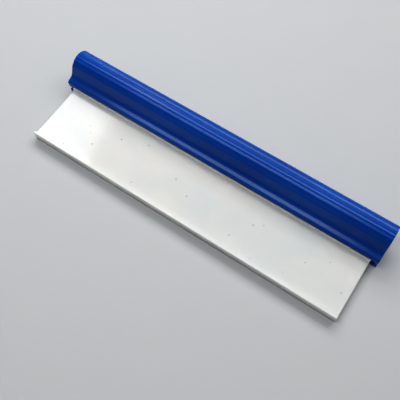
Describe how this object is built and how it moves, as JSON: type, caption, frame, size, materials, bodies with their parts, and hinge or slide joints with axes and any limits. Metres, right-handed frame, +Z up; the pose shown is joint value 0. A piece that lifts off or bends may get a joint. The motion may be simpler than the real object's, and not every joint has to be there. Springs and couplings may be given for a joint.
{
  "type": "window cleaning squeegee",
  "caption": "Hand-held water blade: a fluted, hollow plastic handle holding a translucent silicone blade with a T-shaped wiping edge.",
  "frame": {"origin": "middle of the whole object's footprint, on the surface it lies on", "axes": "+X along the length, -Y from the handle towards the wiping bar, +Z up, square to the web"},
  "size_m": [0.3174, 0.0895, 0.0327],
  "materials": {
    "handle_plastic": "satin, extruded",
    "blade_silicone": "translucent satin",
    "plug_plastic": "moulded, fine matt"
  },
  "bodies": {
    "handle": {"handle": "handle_plastic", "left_end_plug": "plug_plastic", "right_end_plug": "plug_plastic"},
    "blade": {"silicone_blade": "blade_silicone"}
  },
  "joints": [
    {"name": "blade_slide", "type": "slide", "parent": "handle", "child": "blade", "axis": [1, 0, 0], "range_m": [-0.311, 0.311]}
  ]
}
